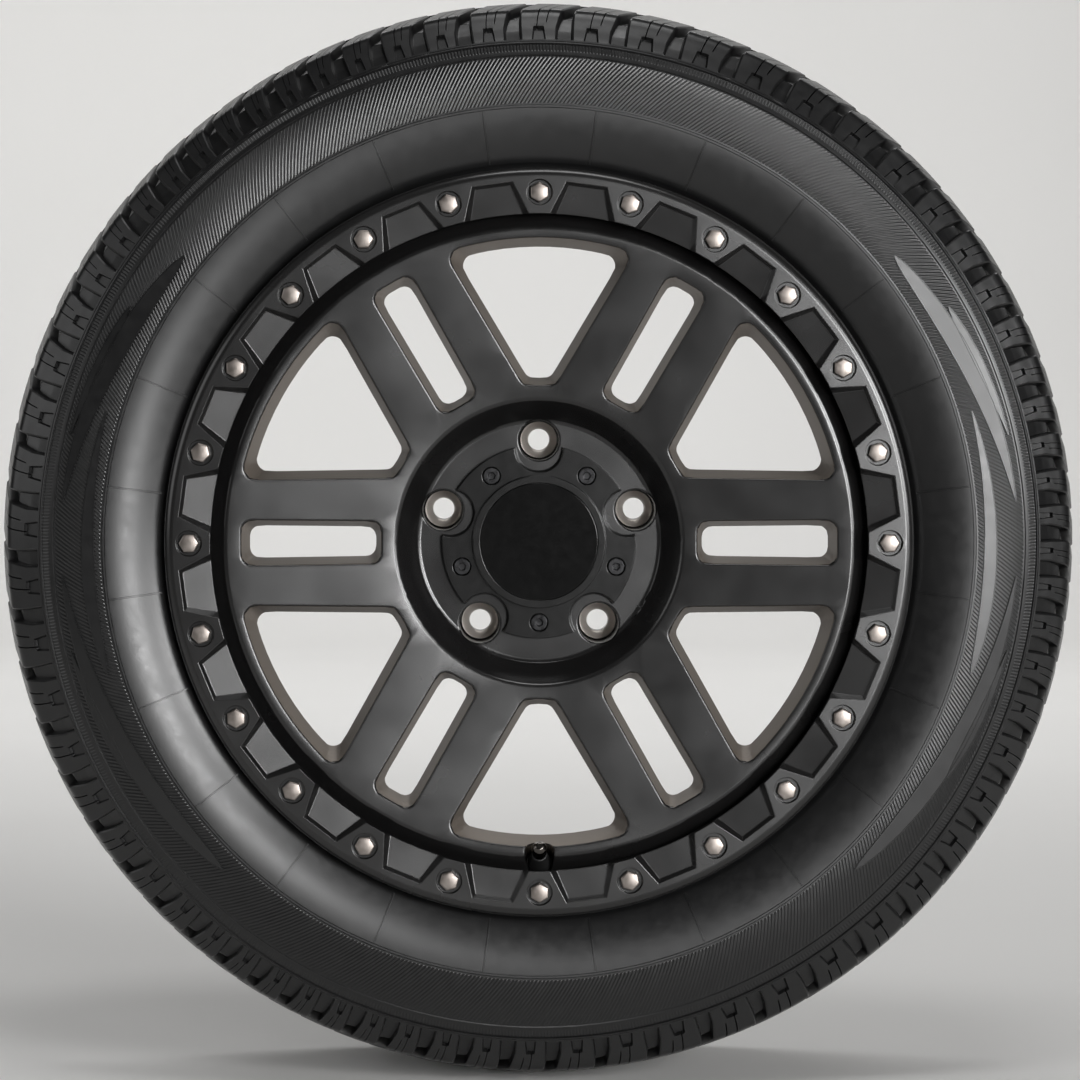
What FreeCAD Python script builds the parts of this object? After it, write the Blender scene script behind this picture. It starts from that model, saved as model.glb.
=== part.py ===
# Road wheel with its tyre fitted: a one-piece cast alloy wheel, a bolted trim ring
# on the outer flange, a screwed centre cap and a snap-in tyre valve.
# Frame: origin at the middle of the mounting face, wheel axis along Y, outer face towards -Y,
# Z up. Places along the axis are given from the middle of the tread, which lies at +offset.
import FreeCAD, Part
import math
import os
import Sketcher

SIZES = {
    # Tyre
    "tyre_radius": (401, "outer radius at the crown"),
    "section_width": (248, "widest part of the sidewalls"),
    "shoulder_drop": (9, "crown to the edge of the tread"),
    "shoulder_tuck": (29, "widest part to the edge of the tread"),
    "buttress_drop": (15, "crown to the rounded shoulder corner"),
    "buttress_tuck": (20.5, "widest part to the rounded shoulder corner"),
    "block_foot_drop": (34, "crown to the inner end of the shoulder blocks"),
    "block_foot_tuck": (11, "widest part to the inner end of the blocks"),
    "sidewall_bow": (101.7, "radius of the sidewall's curve"),
    "rim_line_reach": (5.55, "where the sidewall leaves the flange, beyond its inside"),
    "rim_line_gap": (2, "where the sidewall leaves the flange, above the trim ring"),
    "tread_depth": (9, "depth of the grooves around the tread"),
    "groove_width": (10, "width of the grooves around the tread"),
    "groove_place": (47, "from the middle of the tread to the outer grooves"),
    "cross_groove_width": (11, "width of the grooves across the shoulder"),
    "cross_groove_depth": (7.5, "depth of the grooves across the shoulder"),
    "cross_groove_lean": (16, "angle of the shoulder grooves to the axis"),
    "cross_groove_step": (1.4, "foot of the blocks to the end of the shoulder grooves"),
    "pitch_count": (69, "shoulder blocks on one side"),
    "pitch_swing": (0.25, "share by which the block length changes"),
    "pitch_waves": (3, "runs of long and short blocks in one turn"),
    "pitch_start": (5, "angle of the shortest block"),
    "tread_thickness": (17, "rubber and belts under the crown"),
    "sidewall_thickness": (10, "rubber and plies of the sidewall"),
    "bead_width": (20, "width of the bead on its seat"),
    "bead_gap": (0.2, "bead to rim"),
    # Wheel casting
    "rim_width": (215.9, "between the flanges"),
    "seat_radius": (253.9, "bead seats"),
    "seat_width": (22, "bead seats"),
    "flange_height": (17.5, "flange above the bead seat"),
    "flange_thickness": (7, "flange"),
    "well_depth": (21.9, "drop centre below the bead seats"),
    "well_front": (62, "front end of the drop centre, ahead of the middle"),
    "well_back": (15, "back end of the drop centre, ahead of the middle"),
    "barrel_wall": (6, "wall of the barrel"),
    "groove_drop": (10.9, "bead seat to the outside of the groove around the face"),
    "groove_depth": (11, "depth of that groove below the flange"),
    "face_drop": (22.9, "bead seat to the edge of the spoked face"),
    "face_round": (5, "rounding of that edge"),
    "face_dish": (9, "how far the spokes slope in to the hub"),
    "spoke_depth": (31, "thickness of the spokes"),
    "offset": (25, "mounting face ahead of the middle"),
    "hub_lip_radius": (105, "edge of the dish around the hub"),
    "hub_lip_round": (5, "rounding of that edge"),
    "hub_dish_run": (15, "edge of the dish to its floor"),
    "hub_floor_depth": (24, "depth of the dish"),
    "hub_pad_radius": (92, "mounting face"),
    "hub_bore": (110.1, "bore on the vehicle's spigot, diameter"),
    "hub_bore_depth": (25, "length of that bore"),
    "cap_bore": (100, "opening behind the cap, diameter"),
    "window_count": (6, "windows between the spokes"),
    "window_side": (46, "from a spoke's middle to the window beside it"),
    "window_margin": (7, "edge of the face to the windows"),
    "window_hub_margin": (9, "edge of the dish to the windows"),
    "window_corner": (9, "corners of the windows"),
    "window_draft": (11, "slope of the window walls, degrees"),
    "slot_margin": (12, "edge of the face to the slots"),
    "slot_hub_margin": (10, "edge of the dish to the slots"),
    "slot_width": (33.7, "slots at the face"),
    "slot_corner": (8, "corners of the slots"),
    "slot_draft": (9, "slope of the slot walls, degrees"),
    "lug_count": (5, "lug holes"),
    "lug_circle": (150, "lug hole circle, diameter"),
    "lug_hole": (16, "lug hole, diameter"),
    "lug_seat": (26, "cone seat, diameter"),
    "lug_well": (30, "socket well, diameter"),
    "lug_web": (22, "mounting face to the top of the cone seat"),
    # Trim ring and its bolts
    "ring_overhang": (3.6, "outside of the ring beyond the flange"),
    "ring_inset": (2, "inside of the ring within the groove around the face"),
    "ring_thickness": (11, "ring at the bolts"),
    "ring_lip": (7, "rounding of the outer edge"),
    "ring_bolt_count": (24, "bolts"),
    "ring_bolt_inset": (18.5, "outside of the ring to the bolts"),
    "ring_sink": (18.7, "sunk seat of a bolt, diameter"),
    "ring_sink_depth": (4, "sunk seat of a bolt"),
    "pocket_inset": (13, "outside of the ring to the floors of the pockets"),
    "pocket_outer_width": (26, "pockets at the outer end"),
    "pocket_inner_width": (38, "pockets at the inner end"),
    "pocket_depth": (4, "pockets at the outer end"),
    "pocket_slope": (6, "slope of the pocket floors, degrees"),
    "pocket_draft": (35, "slope of the pocket walls, degrees"),
    "bolt_flats": (13, "hexagon head across flats"),
    "bolt_head": (6, "height of the head"),
    # Centre cap
    "cap_radius": (71.8, "cap flange"),
    "cap_thickness": (8, "cap flange"),
    "cap_rim_radius": (49, "raised rim, outside"),
    "cap_rim_wall": (5.4, "raised rim"),
    "cap_rim_height": (5, "raised rim above the flange"),
    "cap_spigot": (12, "spigot into the wheel"),
    "cap_spigot_wall": (9, "spigot"),
    "cap_fit": (0.2, "spigot to bore and disc to rim"),
    "scallop": (36, "scallops over the lug wells, diameter"),
    "scallop_inset": (6, "lug hole circle to the middle of the scallops"),
    "scallop_draft": (12, "slope of the scallop walls, degrees"),
    "disc_thickness": (4, "cap disc"),
    "cap_screw_radius": (60, "screw circle of the cap, radius"),
    "cap_screw_thread": (6, "screw thread, diameter"),
    "cap_screw_play": (0.6, "screw hole wider than the thread"),
    "cap_screw_head": (12, "screw head, diameter"),
    "cap_screw_head_play": (1.5, "sunk seat wider than the head"),
    "cap_screw_sink_depth": (5, "sunk seat of a screw"),
    "cap_screw_length": (18, "below the head"),
    "cap_screw_socket": (5, "hexagon socket across flats"),
    "cap_screw_socket_depth": (2.5, "hexagon socket"),
    "cap_screw_grip": (2, "floor of the screw hole below the screw's end"),
    # Valve
    "valve_drop": (15.9, "bead seat to the valve seat"),
    "valve_inset": (16.95, "front of the flange to the valve seat"),
    "valve_lean": (30, "lean of the valve towards the axis, degrees"),
    "valve_hole": (11.5, "valve hole, diameter"),
    "valve_wall": (5, "wall at the valve hole"),
    "valve_spot": (21, "spot face outside the valve hole, diameter"),
    "valve_back_spot": (16, "spot face inside the valve hole, diameter"),
    "rubber_base": (17, "rubber above the wall, diameter"),
    "rubber_top": (11, "rubber at its tip, diameter"),
    "rubber_height": (17, "rubber above the wall"),
    "rubber_collar": (3.4, "straight foot of the rubber"),
    "rubber_bulb": (14, "rubber below the wall, diameter"),
    "rubber_bulb_height": (9, "rubber below the wall"),
    "rubber_bulb_collar": (4.5, "straight part of the rubber below the wall"),
    "rubber_gap": (0.1, "rubber to wall and stem"),
    "stem_width": (7.7, "brass stem, diameter"),
    "stem_rise": (11, "stem above the rubber"),
    "stem_bore": (5, "stem bore, diameter"),
    "core_height": (20, "core in the stem"),
    "core_gap": (0.2, "core to stem"),
    "core_bore": (2.2, "hole in the core, diameter"),
    "pin_width": (1.4, "core pin, diameter"),
    "pin_head": (3.2, "pin's valve head, diameter"),
    "pin_head_height": (1.5, "pin's valve head"),
    "pin_proud": (0.6, "pin above the core"),
    "cap_width": (10.4, "valve cap, diameter"),
    "cap_crown": (5.2, "flat top of the valve cap, diameter"),
    "cap_roof": (2.5, "roof of the valve cap"),
    "cap_gap": (0.3, "valve cap to stem"),
    "cap_stand": (1, "valve cap above the rubber"),
    "seal_thickness": (1, "rubber washer in the valve cap"),
}

doc = FreeCAD.newDocument("road_wheel")
sheet = doc.addObject("Spreadsheet::Sheet", "Sizes")
for row, (alias, (value, note)) in enumerate(SIZES.items(), start=1):
    sheet.set(f"A{row}", alias)
    sheet.set(f"B{row}", str(value))
    sheet.setAlias(f"B{row}", alias)
    sheet.set(f"C{row}", note)
doc.recompute()


def number(expression):
    """The present value of an expression in the sheet's names."""
    return float(sheet.evalExpression(expression))


def in_sheet(expression):
    """The same expression as another object has to write it."""
    words = []
    word = ""
    for letter in expression + " ":
        if letter.isalnum() or letter == "_":
            word += letter
            continue
        words.append("Sizes." + word if word in SIZES else word)
        words.append(letter)
        word = ""
    return "".join(words).strip()


def new_body(name):
    """A body drawn from the middle of the tread and set with the mounting face at the origin."""
    body = doc.addObject("PartDesign::Body", name)
    body.Label = name
    body.setExpression("Placement.Base.y", in_sheet("offset"))
    return body


def origin_part(body, role):
    return next(part for part in body.Origin.OriginFeatures if part.Role == role)


def new_sketch(body, name, plane="XY_Plane", lift=None):
    """A sketch on an origin plane, lifted along the plane's normal."""
    sketch = body.newObject("Sketcher::SketchObject", name)
    sketch.AttachmentSupport = [(origin_part(body, plane), "")]
    sketch.MapMode = "FlatFace"
    if lift:
        sketch.setExpression("AttachmentOffset.Base.z", in_sheet(lift))
    return sketch


def tie(sketch, kind, geometry, expression):
    """A dimension of the sketch that follows the sheet."""
    index = sketch.addConstraint(Sketcher.Constraint(kind, *geometry, number(expression)))
    sketch.setExpression(f"Constraints[{index}]", in_sheet(expression))


def place_point(sketch, geometry, point, x, y):
    tie(sketch, "DistanceX", (-1, 1, geometry, point), x)
    tie(sketch, "DistanceY", (-1, 1, geometry, point), y)


def outline(sketch, corners, bulges=None):
    """A closed outline through the corners. A side named in bulges, by the number of the
    corner that it starts from, is an arc: its radius, and +1 where the arc's centre lies to
    the left of the way from corner to corner."""
    bulges = bulges or {}
    points = [FreeCAD.Vector(number(x), number(y), 0) for x, y in corners]
    ends = []
    for index, start in enumerate(points):
        end = points[(index + 1) % len(points)]
        if index not in bulges:
            ends.append((sketch.addGeometry(Part.LineSegment(start, end)), 1, 2))
            continue
        radius, side = bulges[index]
        chord = end - start
        left = FreeCAD.Vector(-chord.y, chord.x, 0).normalize()
        reach = number(radius)
        height = math.sqrt(reach**2 - chord.Length**2 / 4)
        centre = (start + end) * 0.5 + left * side * height
        across = (start - centre).normalize() + (end - centre).normalize()
        middle = centre + across.normalize() * reach
        arc = Part.Arc(start, middle, end)
        ends.append((sketch.addGeometry(arc), *((1, 2) if side > 0 else (2, 1))))
    for index, (geometry, start, end) in enumerate(ends):
        following, next_start, _ = ends[(index + 1) % len(ends)]
        sketch.addConstraint(Sketcher.Constraint("Coincident", geometry, end, following, next_start))
        place_point(sketch, geometry, start, *corners[index])
        if index in bulges:
            tie(sketch, "Radius", (geometry,), bulges[index][0])


def axis_line(sketch, start, end):
    """A construction line for a revolved cut, named Axis0 in its sketch."""
    points = [FreeCAD.Vector(number(x), number(y), 0) for x, y in (start, end)]
    line = sketch.addGeometry(Part.LineSegment(*points), True)
    place_point(sketch, line, 1, *start)
    place_point(sketch, line, 2, *end)


def circle(sketch, x, y, diameter):
    centre = FreeCAD.Vector(number(x), number(y), 0)
    ring = sketch.addGeometry(Part.Circle(centre, FreeCAD.Vector(0, 0, 1), number(diameter) / 2))
    place_point(sketch, ring, 3, x, y)
    tie(sketch, "Diameter", (ring,), diameter)


def revolve(body, sketch, kind="PartDesign::Revolution", axis="V_Axis"):
    feature = body.newObject(kind, sketch.Name + "_turn")
    feature.Profile = sketch
    feature.ReferenceAxis = (sketch, [axis])
    feature.Angle = 360
    return feature


def extrude(body, sketch, length, kind="PartDesign::Pad", reverse=False, draft=None):
    feature = body.newObject(kind, sketch.Name + "_run")
    feature.Profile = sketch
    feature.Reversed = reverse
    feature.setExpression("Length", in_sheet(length))
    if draft:
        feature.setExpression("TaperAngle", in_sheet(draft))
    return feature


def around(body, feature, count, name):
    """Copies of one feature around the wheel axis."""
    pattern = body.newObject("PartDesign::PolarPattern", name)
    pattern.Originals = [feature]
    pattern.Axis = (origin_part(body, "Y_Axis"), [""])
    pattern.Angle = 360
    pattern.setExpression("Occurrences", in_sheet(count))
    body.Tip = pattern
    return pattern


def soften(body, radius, wanted):
    """A fillet on the round edges whose radius and place along the axis are wanted."""
    doc.recompute()
    base = body.Tip
    names = []
    for index, edge in enumerate(base.Shape.Edges, start=1):
        for edge_radius, place in wanted:
            round_edge = isinstance(edge.Curve, Part.Circle)
            if round_edge and abs(edge.Curve.Radius - edge_radius) < 0.01:
                if abs(edge.Curve.Center.y - place) < 0.01:
                    names.append(f"Edge{index}")
    fillet = body.newObject("PartDesign::Fillet", base.Name + "_round")
    fillet.Base = (base, names)
    fillet.setExpression("Radius", in_sheet(radius))
    return fillet


def soften_corners(body, radius, near, far):
    """A fillet on the upright corners of the openings whose distance from the middle line of
    the nearest spoke lies between near and far."""
    doc.recompute()
    base = body.Tip
    step = 360 / number("window_count")
    names = []
    for index, edge in enumerate(base.Shape.Edges, start=1):
        run = edge.lastVertex().Point - edge.firstVertex().Point
        middle = edge.CenterOfMass
        radius_there = math.hypot(middle.x, middle.z)
        upright = run.Length > 0 and abs(run.y) > 0.9 * run.Length
        if not upright or radius_there > number(FACE_RADIUS) or abs(middle.z) < 0.01:
            continue
        angle = math.degrees(math.atan2(middle.z, middle.x))
        aside = radius_there * abs(math.sin(math.radians(angle - step * round(angle / step))))
        if near < aside < far:
            names.append(f"Edge{index}")
    fillet = body.newObject("PartDesign::Fillet", base.Name + "_corners")
    fillet.Base = (base, names)
    fillet.setExpression("Radius", in_sheet(radius))
    return fillet


def copies(label, source, angles):
    """Separate solids, one copy of the source at each angle around the wheel axis."""
    doc.recompute()
    solids = []
    for angle in angles:
        solid = source.Shape.copy()
        solid.rotate(FreeCAD.Vector(0, 0, 0), FreeCAD.Vector(0, 1, 0), angle)
        solids.append(solid)
    group = doc.addObject("Part::Feature", label)
    group.Label = label
    group.Shape = Part.makeCompound(solids)
    return group


# Radii that several pieces share, each from the one that it follows
FLANGE_RADIUS = "(seat_radius + flange_height)"
WELL_RADIUS = "(seat_radius - well_depth)"
GROOVE_RADIUS = "(seat_radius - groove_drop)"
FACE_RADIUS = "(seat_radius - face_drop)"
HUB_FLOOR_RADIUS = "(hub_lip_radius - hub_dish_run)"
RING_RADIUS = f"({FLANGE_RADIUS} + ring_overhang)"
RING_BORE_RADIUS = f"({GROOVE_RADIUS} - ring_inset)"
RING_BOLT_RADIUS = f"({RING_RADIUS} - ring_bolt_inset)"
RIM_LINE_RADIUS = f"({RING_RADIUS} + rim_line_gap)"
BLOCK_FOOT_RADIUS = "(tyre_radius - block_foot_drop)"
BUTTRESS_RADIUS = "(tyre_radius - buttress_drop)"
SHOULDER_RADIUS = "(tyre_radius - shoulder_drop)"
CAP_RIM_BORE = "(cap_rim_radius - cap_rim_wall)"
CAP_SCREW_HOLE = "(cap_screw_thread + cap_screw_play)"
VALVE_RADIUS = "(seat_radius - valve_drop)"

# Half widths of the tyre, from its widest part
BLOCK_FOOT_HALF = "(section_width / 2 - block_foot_tuck)"
BUTTRESS_HALF = "(section_width / 2 - buttress_tuck)"
SHOULDER_HALF = "(section_width / 2 - shoulder_tuck)"

# Places along the axis that several pieces share, ahead of the middle of the tread
FLANGE_FRONT = "(rim_width / 2 + flange_thickness)"
HUB_LIP = f"({FLANGE_FRONT} - face_dish)"
HUB_FLOOR = f"({HUB_LIP} - hub_floor_depth)"
CAP_FRONT = f"({HUB_FLOOR} + cap_thickness)"
RING_FRONT = f"({FLANGE_FRONT} + ring_thickness)"
VALVE_FRONT = f"({FLANGE_FRONT} - valve_inset)"


# Tyre: one moulding. The section is revolved, with three grooves around the tread.
def tyre_section():
    body = new_body("tyre_blank")
    sketch = new_sketch(body, "tyre_profile")
    half = "section_width / 2"
    seat = "seat_radius + bead_gap"
    heel = "(rim_width / 2 - bead_gap)"
    toe = f"({heel} - bead_width)"
    inner_crown = "tyre_radius - tread_thickness"
    inner_belly = f"({half} - sidewall_thickness)"
    belly = f"({BLOCK_FOOT_RADIUS} + {RIM_LINE_RADIUS}) / 2"
    side = [
        (seat, toe),
        (seat, heel),
        (f"{FLANGE_RADIUS} + bead_gap", heel),
        (RIM_LINE_RADIUS, "rim_width / 2 + rim_line_reach"),
        (belly, half),
        (BLOCK_FOOT_RADIUS, BLOCK_FOOT_HALF),
        (BUTTRESS_RADIUS, BUTTRESS_HALF),
        (SHOULDER_RADIUS, SHOULDER_HALF),
        ("tyre_radius", "groove_place"),
    ]
    inside = [
        (belly, inner_belly),
        (f"{BUTTRESS_RADIUS} - 2 * sidewall_thickness", f"{BUTTRESS_HALF} - sidewall_thickness"),
        (inner_crown, f"{SHOULDER_HALF} - 2 * tread_thickness"),
    ]
    front = [(x, f"-({y})") for x, y in side]
    back = list(reversed(side))
    corners = front + back + inside + [(x, f"-({y})") for x, y in reversed(inside)]
    bow = ("sidewall_bow", 1)
    last = len(front) + len(back)
    bulges = {3: bow, 4: bow, last - 6: bow, last - 5: bow}
    outline(sketch, corners, bulges)
    revolve(body, sketch)
    for name, place in (("middle", "0"), ("front", "-groove_place"), ("back", "groove_place")):
        groove = new_sketch(body, "tread_groove_" + name)
        low = f"{place} - groove_width / 2"
        high = f"{place} + groove_width / 2"
        floor = "tyre_radius - tread_depth"
        above = "tyre_radius + tread_depth"
        outline(groove, [(floor, low), (above, low), (above, high), (floor, high)])
        revolve(body, groove, "PartDesign::Groove")
    return body


def cross_groove():
    """The cutter of one groove across the front shoulder, at the top of the tyre: its side view
    follows the shoulder and ends in a step at the foot of the blocks."""
    width = number("cross_groove_width")
    depth = number("cross_groove_depth")
    inner_end = -number("groove_place")
    outer_end = -number("section_width") / 2
    top = number("tyre_radius") + depth
    foot = number(f"{BLOCK_FOOT_RADIUS} + cross_groove_step")
    side_view = [
        (inner_end, top),
        (inner_end, number("tyre_radius") - depth),
        (-number(SHOULDER_HALF) + depth, number(SHOULDER_RADIUS) - depth),
        (-number(BLOCK_FOOT_HALF) + depth, foot),
        (outer_end, foot),
        (outer_end, top),
    ]
    points = [FreeCAD.Vector(-width / 2, y, z) for y, z in side_view]
    face = Part.Face(Part.makePolygon(points + points[:1]))
    cutter = face.extrude(FreeCAD.Vector(width, 0, 0))
    pivot = FreeCAD.Vector(0, -number(BUTTRESS_HALF), 0)
    cutter.rotate(pivot, FreeCAD.Vector(0, 0, 1), -number("cross_groove_lean"))
    return cutter


def pitch_angles(shift):
    """Where the grooves lie: the blocks grow and shrink in waves around the tyre."""
    count = int(number("pitch_count"))
    waves = number("pitch_waves")
    angles = []
    for index in range(count):
        even = 360 * (index + shift) / count
        swing = math.sin(math.radians(waves * even)) * number("pitch_swing") / waves
        angles.append(number("pitch_start") + even - math.degrees(swing))
    return angles


def tyre():
    blank = tyre_section()
    cutters = []
    axis = FreeCAD.Vector(0, 1, 0)
    start = FreeCAD.Vector(0, 0, 0)
    for half_turn, shift in ((0, 0), (180, 0.5)):
        for angle in pitch_angles(shift):
            cutter = cross_groove()
            cutter.rotate(start, FreeCAD.Vector(0, 0, 1), half_turn)
            cutter.rotate(start, axis, 90 - angle)
            cutter.translate(axis * number("offset"))
            cutters.append(cutter)
    grooves = doc.addObject("Part::Feature", "cross_grooves")
    grooves.Shape = Part.makeCompound(cutters)
    cut = doc.addObject("Part::Cut", "tyre")
    cut.Label = "tyre"
    cut.Base = blank
    cut.Tool = grooves
    return cut


# Wheel: one casting of barrel, spokes and hub, turned from its half section.
def wheel():
    body = new_body("wheel")
    sketch = new_sketch(body, "wheel_profile")
    half = "(rim_width / 2)"
    seat_end = f"({half} - seat_width)"
    bore = f"({WELL_RADIUS} - barrel_wall)"
    back_bore = "(seat_radius - barrel_wall)"
    spoke_back = f"({FLANGE_FRONT} - spoke_depth)"
    hub_back = f"({HUB_LIP} - spoke_depth)"
    bore_top = "(offset + hub_bore_depth)"
    corners = [
        ("hub_bore / 2", "-offset"),
        ("hub_pad_radius", "-offset"),
        ("hub_lip_radius", f"-{hub_back}"),
        (bore, f"-{spoke_back}"),
        (bore, "-well_back"),
        (back_bore, seat_end),
        (back_bore, FLANGE_FRONT),
        (FLANGE_RADIUS, FLANGE_FRONT),
        (FLANGE_RADIUS, half),
        ("seat_radius", half),
        ("seat_radius", seat_end),
        (WELL_RADIUS, "-well_back"),
        (WELL_RADIUS, "-well_front"),
        ("seat_radius", f"-{seat_end}"),
        ("seat_radius", f"-{half}"),
        (FLANGE_RADIUS, f"-{half}"),
        (FLANGE_RADIUS, f"-{FLANGE_FRONT}"),
        (GROOVE_RADIUS, f"-{FLANGE_FRONT}"),
        (GROOVE_RADIUS, f"-({FLANGE_FRONT} - groove_depth)"),
        (FACE_RADIUS, f"-{FLANGE_FRONT}"),
        ("hub_lip_radius", f"-{HUB_LIP}"),
        (HUB_FLOOR_RADIUS, f"-{HUB_FLOOR}"),
        ("cap_bore / 2", f"-{HUB_FLOOR}"),
        ("cap_bore / 2", f"-{bore_top}"),
        ("hub_bore / 2", f"-{bore_top}"),
    ]
    outline(sketch, corners)
    revolve(body, sketch)
    soften(body, "face_round", [(number(FACE_RADIUS), -number(FLANGE_FRONT))])
    dish_edges = [
        (number("hub_lip_radius"), -number(HUB_LIP)),
        (number(HUB_FLOOR_RADIUS), -number(HUB_FLOOR)),
    ]
    soften(body, "hub_lip_round", dish_edges)
    around(body, window(body), "window_count", "windows")
    around(body, slot(body), "window_count", "slots")
    soften_corners(body, "window_corner", number("slot_width"), number(FACE_RADIUS))
    soften_corners(body, "slot_corner", 0, number("slot_width"))
    around(body, lug_hole(body), "lug_count", "lug_holes")
    around(body, cap_screw_hole(body), "lug_count", "cap_screw_holes")
    valve_hole(body)
    return body


def window(body):
    """The window at the top, between two spokes: its sides run along the spokes."""
    sketch = new_sketch(body, "window", "XZ_Plane", FLANGE_FRONT)
    half = "(180 / window_count)"
    inner = "(hub_lip_radius + window_hub_margin)"
    outer = f"({FACE_RADIUS} - window_margin)"
    apex = f"(window_side / sin({half}))"
    inner_half = f"(({inner} - {apex}) * tan({half}))"
    out = f"sqrt({outer}^2 - window_side^2)"
    corner_x = f"({out} * sin({half}) - window_side * cos({half}))"
    corner_y = f"({out} * cos({half}) + window_side * sin({half}))"
    corners = [
        (f"-{inner_half}", inner),
        (inner_half, inner),
        (corner_x, corner_y),
        (f"-{corner_x}", corner_y),
    ]
    outline(sketch, corners, {2: (outer, 1)})
    return extrude(body, sketch, "spoke_depth * 2", "PartDesign::Pocket", draft="-window_draft")


def slot(body):
    """The slot in the middle of the spoke that points to +X."""
    sketch = new_sketch(body, "slot", "XZ_Plane", FLANGE_FRONT)
    half = "slot_width / 2"
    inner = "hub_lip_radius + slot_hub_margin"
    outer = f"{FACE_RADIUS} - slot_margin"
    corners = [
        (inner, f"-{half}"),
        (outer, f"-{half}"),
        (outer, half),
        (inner, half),
    ]
    outline(sketch, corners)
    return extrude(body, sketch, "spoke_depth * 2", "PartDesign::Pocket", draft="-slot_draft")


def lug_hole(body):
    """Socket well, 60 degree cone seat and stud hole at the top, turned about the hole's axis."""
    sketch = new_sketch(body, "lug_hole", "YZ_Plane")
    centre = "lug_circle / 2"
    seat_top = "(offset + lug_web)"
    seat_foot = f"({seat_top} - (lug_seat - lug_hole) / 2 / tan(30))"
    corners = [
        (f"-{HUB_LIP}", centre),
        (f"-{HUB_LIP}", f"{centre} + lug_well / 2"),
        (f"-{seat_top}", f"{centre} + lug_well / 2"),
        (f"-{seat_top}", f"{centre} + lug_seat / 2"),
        (f"-{seat_foot}", f"{centre} + lug_hole / 2"),
        ("-offset / 2", f"{centre} + lug_hole / 2"),
        ("-offset / 2", centre),
    ]
    outline(sketch, corners)
    axis_line(sketch, (f"-{HUB_LIP}", centre), ("-offset / 2", centre))
    return revolve(body, sketch, "PartDesign::Groove", "Axis0")


def cap_screw_hole(body):
    sketch = new_sketch(body, "cap_screw_hole", "XZ_Plane", HUB_FLOOR)
    circle(sketch, "0", "-cap_screw_radius", CAP_SCREW_HOLE)
    depth = "cap_screw_length + cap_screw_grip + cap_screw_sink_depth - cap_thickness"
    return extrude(body, sketch, depth, "PartDesign::Pocket")


def valve_hole(body):
    """Spot face outside, hole through the wall and spot face inside, along the leaning valve."""
    sketch = new_sketch(body, "valve_hole", "YZ_Plane")
    sketch.setExpression("AttachmentOffset.Base.x", in_sheet(f"-{VALVE_FRONT}"))
    sketch.setExpression("AttachmentOffset.Base.y", in_sheet(f"-{VALVE_RADIUS}"))
    sketch.setExpression("AttachmentOffset.Rotation.Angle", in_sheet("90 - valve_lean"))
    spot = "valve_spot / 2"
    hole = "valve_hole / 2"
    far = "rubber_height * 2"
    corners = [
        ("0", far),
        ("0", f"-({far})"),
        ("valve_back_spot / 2", f"-({far})"),
        ("valve_back_spot / 2", "-valve_wall"),
        (hole, "-valve_wall"),
        (hole, "0"),
        (spot, "0"),
        (spot, far),
    ]
    outline(sketch, corners)
    return revolve(body, sketch, "PartDesign::Groove")


# Trim ring: turned, with a rounded lip, pockets that fall to the middle and sunk bolt seats.
def ring():
    body = new_body("bead_ring")
    sketch = new_sketch(body, "ring_profile")
    corners = [
        (RING_BORE_RADIUS, f"-{FLANGE_FRONT}"),
        (RING_BORE_RADIUS, f"-{RING_FRONT}"),
        (f"{RING_RADIUS} - ring_lip", f"-{RING_FRONT}"),
        (RING_RADIUS, f"-({RING_FRONT} - ring_lip)"),
        (RING_RADIUS, f"-{FLANGE_FRONT}"),
    ]
    outline(sketch, corners, {2: ("ring_lip", 1)})
    revolve(body, sketch)
    around(body, ring_pocket(body), "ring_bolt_count", "ring_pockets")
    around(body, ring_sink(body), "ring_bolt_count", "ring_sinks")
    return body


def ring_pocket(body):
    """A pocket half a step past the top: a trapezium on a sloping floor, open to the bore."""
    sketch = new_sketch(body, "ring_pocket", "XZ_Plane")
    step = "180 / ring_bolt_count"
    outer_end = f"({RING_RADIUS} - pocket_inset)"
    turn = FreeCAD.Rotation(FreeCAD.Vector(0, 0, 1), -number(step))
    lean = FreeCAD.Rotation(FreeCAD.Vector(1, 0, 0), number("pocket_slope"))
    sketch.AttachmentOffset = FreeCAD.Placement(FreeCAD.Vector(), turn * lean)
    sketch.setExpression("AttachmentOffset.Base.x", in_sheet(f"{outer_end} * sin({step})"))
    sketch.setExpression("AttachmentOffset.Base.y", in_sheet(f"{outer_end} * cos({step})"))
    sketch.setExpression("AttachmentOffset.Base.z", in_sheet(f"{RING_FRONT} - pocket_depth"))
    run = f"({outer_end} - {RING_BORE_RADIUS})"
    outer = "(pocket_outer_width / 2)"
    past = "(pocket_inner_width - pocket_outer_width / 2)"
    corners = [
        (f"-{past}", f"-2 * {run}"),
        (past, f"-2 * {run}"),
        (outer, "0"),
        (f"-{outer}", "0"),
    ]
    outline(sketch, corners)
    return extrude(body, sketch, "ring_thickness", "PartDesign::Pocket", True, "pocket_draft")


def ring_sink(body):
    sketch = new_sketch(body, "ring_sink", "XZ_Plane", RING_FRONT)
    circle(sketch, "0", RING_BOLT_RADIUS, "ring_sink")
    return extrude(body, sketch, "ring_sink_depth", "PartDesign::Pocket")


def hexagon(sketch, x, y, flats):
    """A hexagon with two corners on the upright through its middle."""
    far = f"({flats} / sqrt(3))"
    near = f"({flats} / 2)"
    corners = [
        (f"{x} + {near}", f"{y} - {far} / 2"),
        (f"{x} + {near}", f"{y} + {far} / 2"),
        (x, f"{y} + {far}"),
        (f"{x} - {near}", f"{y} + {far} / 2"),
        (f"{x} - {near}", f"{y} - {far} / 2"),
        (x, f"{y} - {far}"),
    ]
    outline(sketch, corners)


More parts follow.
